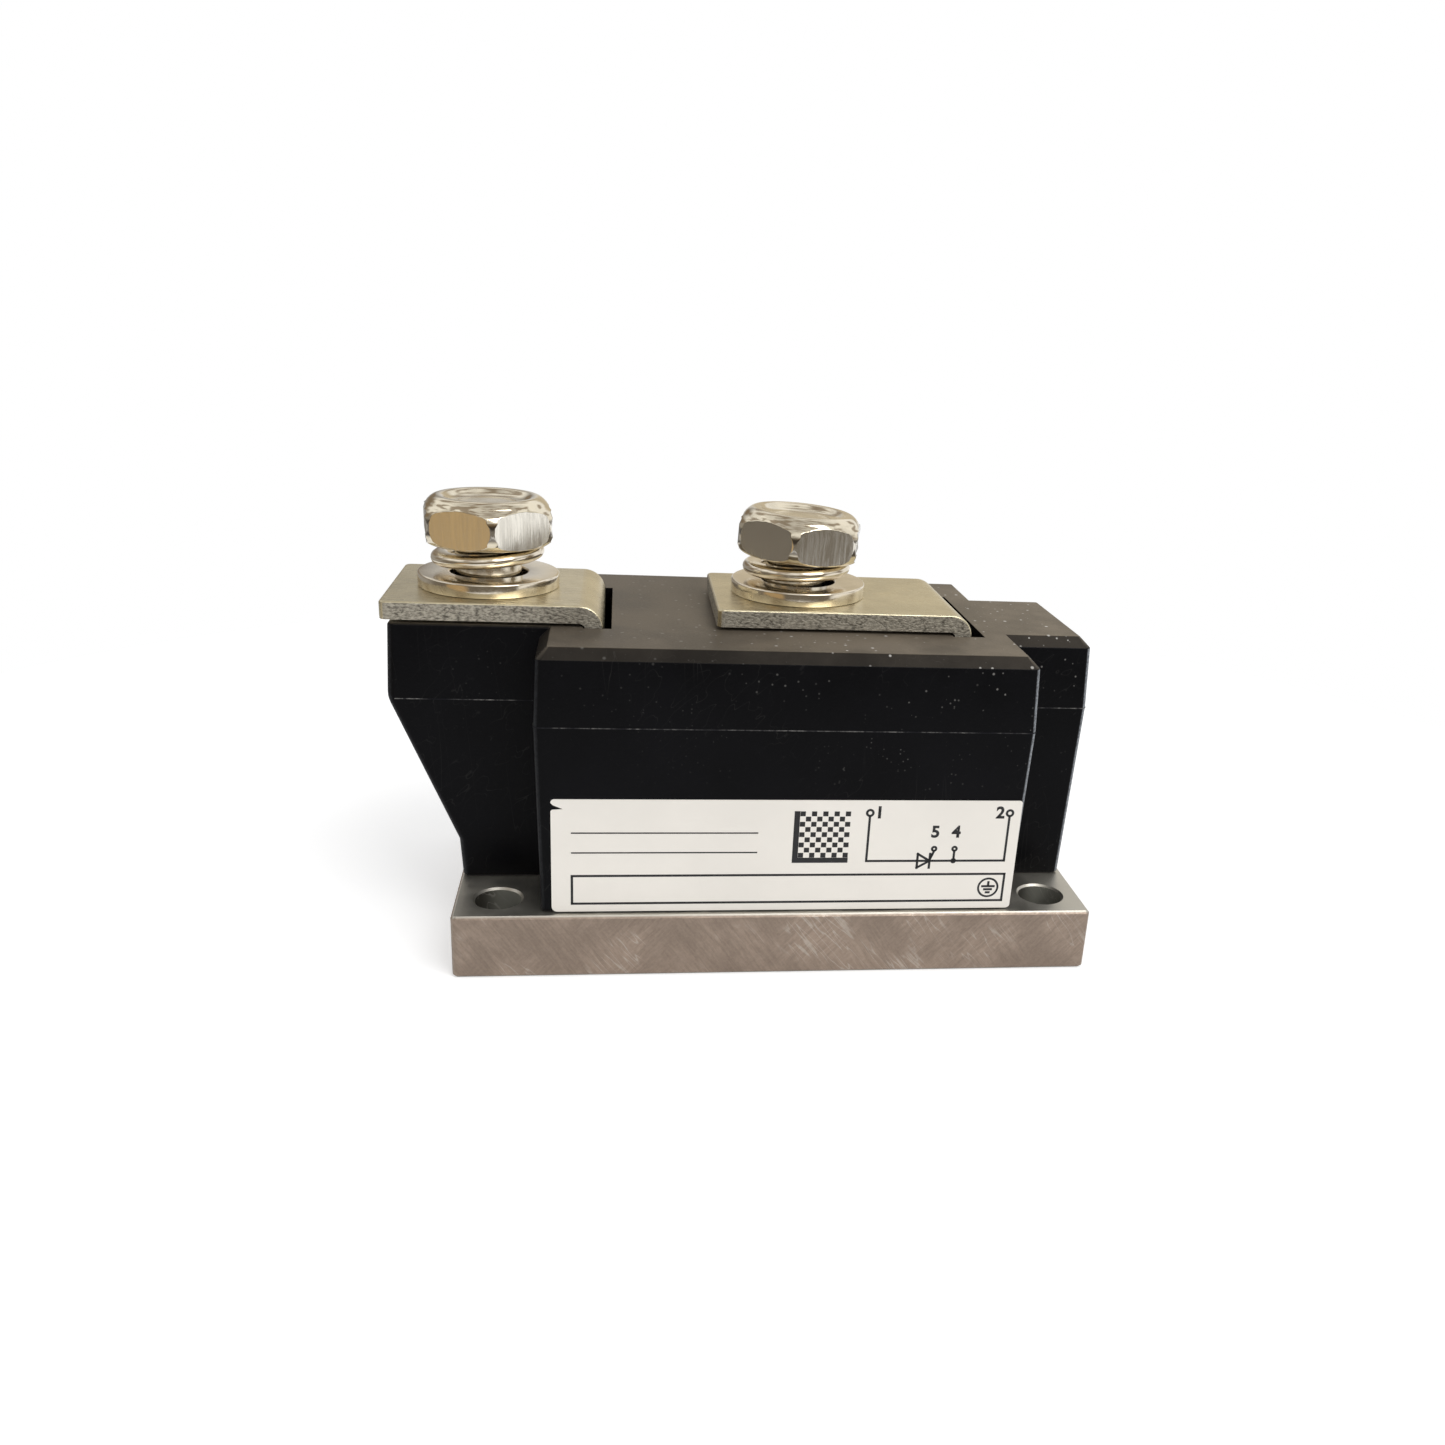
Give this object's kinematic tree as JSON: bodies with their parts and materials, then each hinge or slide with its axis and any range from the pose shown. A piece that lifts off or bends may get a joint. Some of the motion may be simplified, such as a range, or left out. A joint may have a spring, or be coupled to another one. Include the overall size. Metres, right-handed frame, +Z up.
{
  "type": "thyristor module",
  "caption": "Power thyristor module: metal baseplate, black moulded housing with an overhanging end, bent terminal plates with hex bolts, recessed control tabs and a pressed chip stack inside.",
  "frame": {"origin": "centre of the baseplate's underside, midway between the four mounting holes", "axes": "+X along the module from the overhanging anode end to the control-tab end, +Y away from the label, +Z up from the heat sink"},
  "size_m": [0.1015, 0.05, 0.0633],
  "materials": {
    "nickel_base": "matte nickel plate with fine scratches",
    "sealant": "cured adhesive",
    "black_housing": "satin moulded plastic with dust and light scratches",
    "label_stock": "printed white sticker",
    "plated_strip": "dull tin plate with rough sheared edges",
    "zinc_steel": "zinc plate",
    "bright_washer": "bright nickel plate",
    "bright_bolt": "bright nickel plate, brushed flats",
    "white_ceramic": "fired and ground",
    "natural_plastic": "natural moulded plastic",
    "molybdenum": "lapped",
    "silicon": "polished wafer",
    "guard_rubber": "cast rubber",
    "gold_contact": "gold flash",
    "spring_steel": "phosphated",
    "plated_tab": "tinned",
    "copper_lead": "bare wire"
  },
  "bodies": {
    "module": {"baseplate": "nickel_base", "adhesive_seal": "sealant", "housing": "black_housing", "label": "label_stock", "anode_busbar": "plated_strip", "cathode_busbar": "plated_strip", "anode_terminal_nut": "zinc_steel", "cathode_terminal_nut": "zinc_steel", "anode_flat_washer": "bright_washer", "cathode_flat_washer": "bright_washer", "ceramic_insulator": "white_ceramic", "centring_ring": "natural_plastic", "lower_molybdenum_disc": "molybdenum", "thyristor_pellet": "silicon", "pellet_guard_ring": "guard_rubber", "upper_molybdenum_disc": "molybdenum", "gate_bush": "natural_plastic", "gate_pin": "gold_contact", "gate_spring": "zinc_steel", "pressure_cap": "natural_plastic", "thrust_washer": "zinc_steel", "disc_spring_1": "spring_steel", "disc_spring_2": "spring_steel", "clamp_yoke": "zinc_steel", "clamp_screws": "spring_steel", "gate_tab": "plated_tab", "cathode_sense_tab": "plated_tab", "gate_lead": "copper_lead", "cathode_sense_lead": "copper_lead"},
    "anode_bolt_rise": {"anode_spring_washer": "bright_washer"},
    "anode_bolt": {"anode_terminal_bolt": "bright_bolt"},
    "cathode_bolt_rise": {"cathode_spring_washer": "bright_washer"},
    "cathode_bolt": {"cathode_terminal_bolt": "bright_bolt"}
  },
  "joints": [
    {"name": "anode_bolt_travel", "type": "slide", "parent": "module", "child": "anode_bolt_rise", "axis": [0, 0, 1], "range_m": [-0.00079, 0.00533]},
    {"name": "anode_bolt_turn", "type": "hinge", "parent": "anode_bolt_rise", "child": "anode_bolt", "pos_m": [-0.0419, 0, 0.0424], "axis": [0, 0, 1], "range_deg": [-190, 1280]},
    {"name": "cathode_bolt_travel", "type": "slide", "parent": "module", "child": "cathode_bolt_rise", "axis": [0.0523, 0, 0.9986], "range_m": [-0.0007, 0.00624]},
    {"name": "cathode_bolt_turn", "type": "hinge", "parent": "cathode_bolt_rise", "child": "cathode_bolt", "pos_m": [0.00215, 0, 0.04291], "axis": [0.0523, 0, 0.9986], "range_deg": [-170, 1500]}
  ],
  "couplings": [
    {"joint": "anode_bolt_turn", "follows": "anode_bolt_travel", "rad_per_m": 4188.8},
    {"joint": "cathode_bolt_turn", "follows": "cathode_bolt_travel", "rad_per_m": 4188.8}
  ]
}
